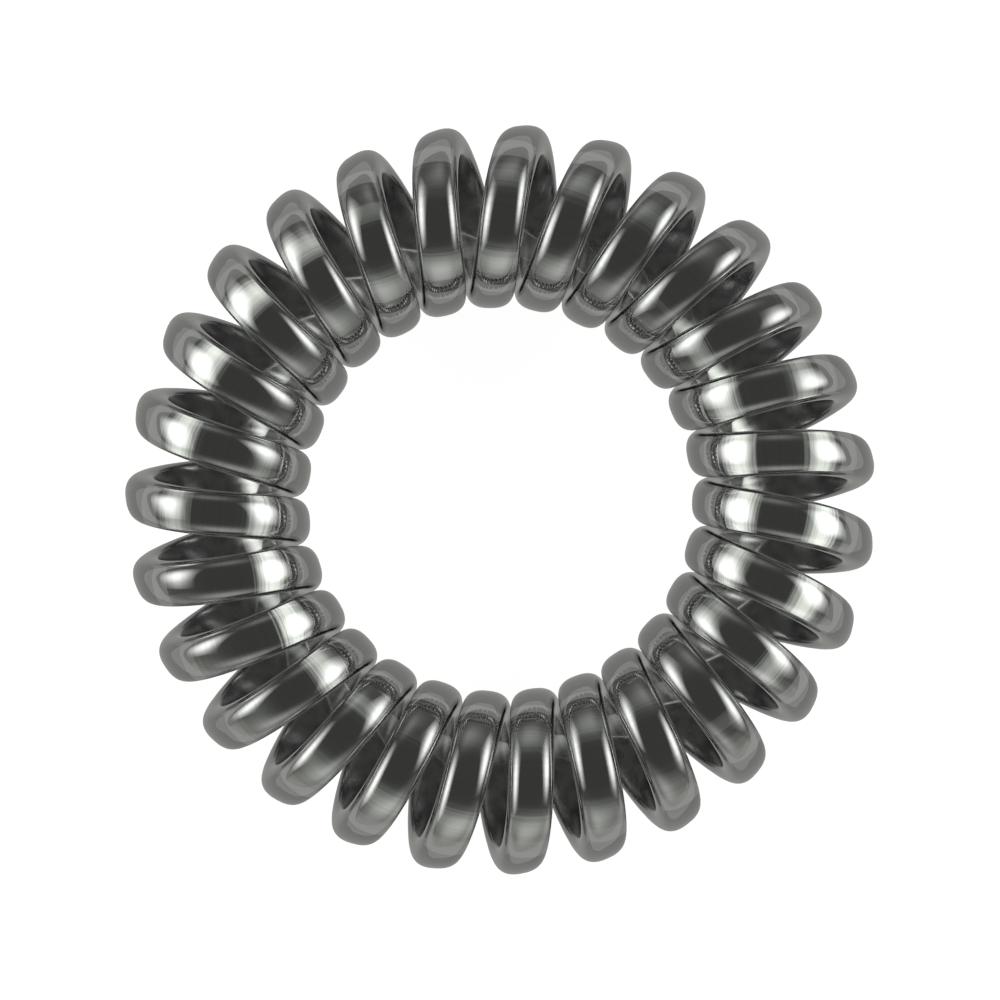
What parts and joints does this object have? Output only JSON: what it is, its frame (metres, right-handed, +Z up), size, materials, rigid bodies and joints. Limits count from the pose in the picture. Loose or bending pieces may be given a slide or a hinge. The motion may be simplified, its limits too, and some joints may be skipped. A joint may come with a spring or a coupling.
{
  "type": "spiral hair tie",
  "caption": "Springy coiled hair tie: one glossy dark metallic strand wound into a coil that closes on itself as a ring, lying flat.",
  "frame": {"origin": "centre of the ring, on the surface that the tie lies on", "axes": "+Z up, along the axis of the ring through the hole that hair goes through; +X close to the tip of one turn"},
  "size_m": [0.0359, 0.036, 0.0088],
  "materials": {
    "strand": "mirror-smooth dark grey metallic coating on springy plastic"
  },
  "bodies": {
    "root": {"coil": "strand"}
  },
  "joints": []
}
